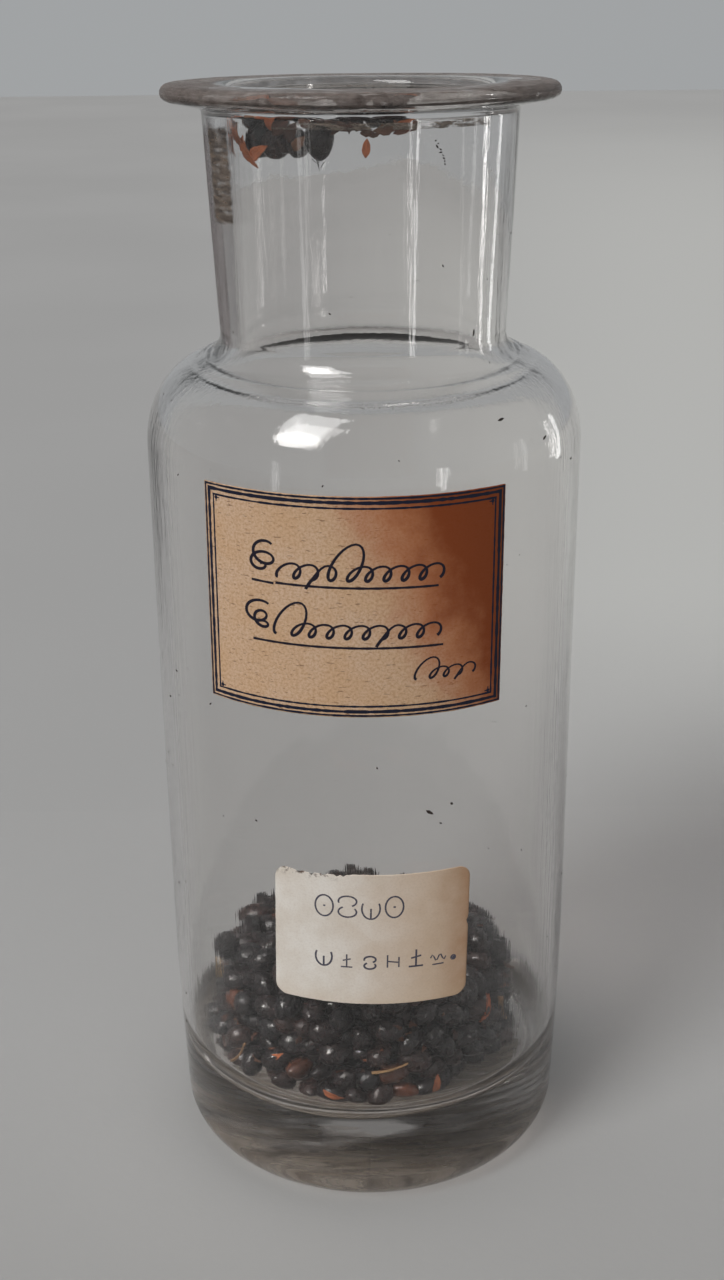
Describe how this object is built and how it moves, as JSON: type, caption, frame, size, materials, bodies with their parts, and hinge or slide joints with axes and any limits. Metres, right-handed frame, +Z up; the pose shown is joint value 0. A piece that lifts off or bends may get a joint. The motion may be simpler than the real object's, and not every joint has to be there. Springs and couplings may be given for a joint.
{
  "type": "specimen jar",
  "caption": "Open cylindrical glass specimen jar with a wide neck, a flat everted lip and a thick base, two pasted paper labels, and a heap of dark seeds and husks inside.",
  "frame": {"origin": "centre of the jar's foot, on the surface it stands on", "axes": "+Z up along the jar's axis; the labels face -Y; +X to the right when the labels are read"},
  "size_m": [0.048, 0.0481, 0.1246],
  "materials": {
    "jar_glass": "clear blown glass with a faint warm grey tint and slight waves",
    "label_kraft": "aged tan paper, stained brown at one side",
    "label_cream": "aged cream paper, yellowed at its edges",
    "seed_hull": "glossy dark brown to black seed coat",
    "husk": "dry translucent orange-brown husk",
    "straw": "dry matt straw",
    "residue": "dried brown-grey sealing paste"
  },
  "bodies": {
    "root": {"glass_jar": "jar_glass", "name_label": "label_kraft", "number_label": "label_cream", "seeds_course_1": "seed_hull", "seeds_course_2": "seed_hull", "seeds_course_3": "seed_hull", "seeds_course_4": "seed_hull", "seeds_course_5": "seed_hull", "upright_seed": "seed_hull", "heap_husks": "husk", "heap_straws": "straw", "husks_on_top": "husk", "clinging_seeds_upper": "seed_hull", "clinging_seeds_lower": "seed_hull", "hanging_seed": "seed_hull", "clinging_husks": "husk", "hanging_husk": "husk", "seal_residue": "residue"}
  },
  "joints": []
}
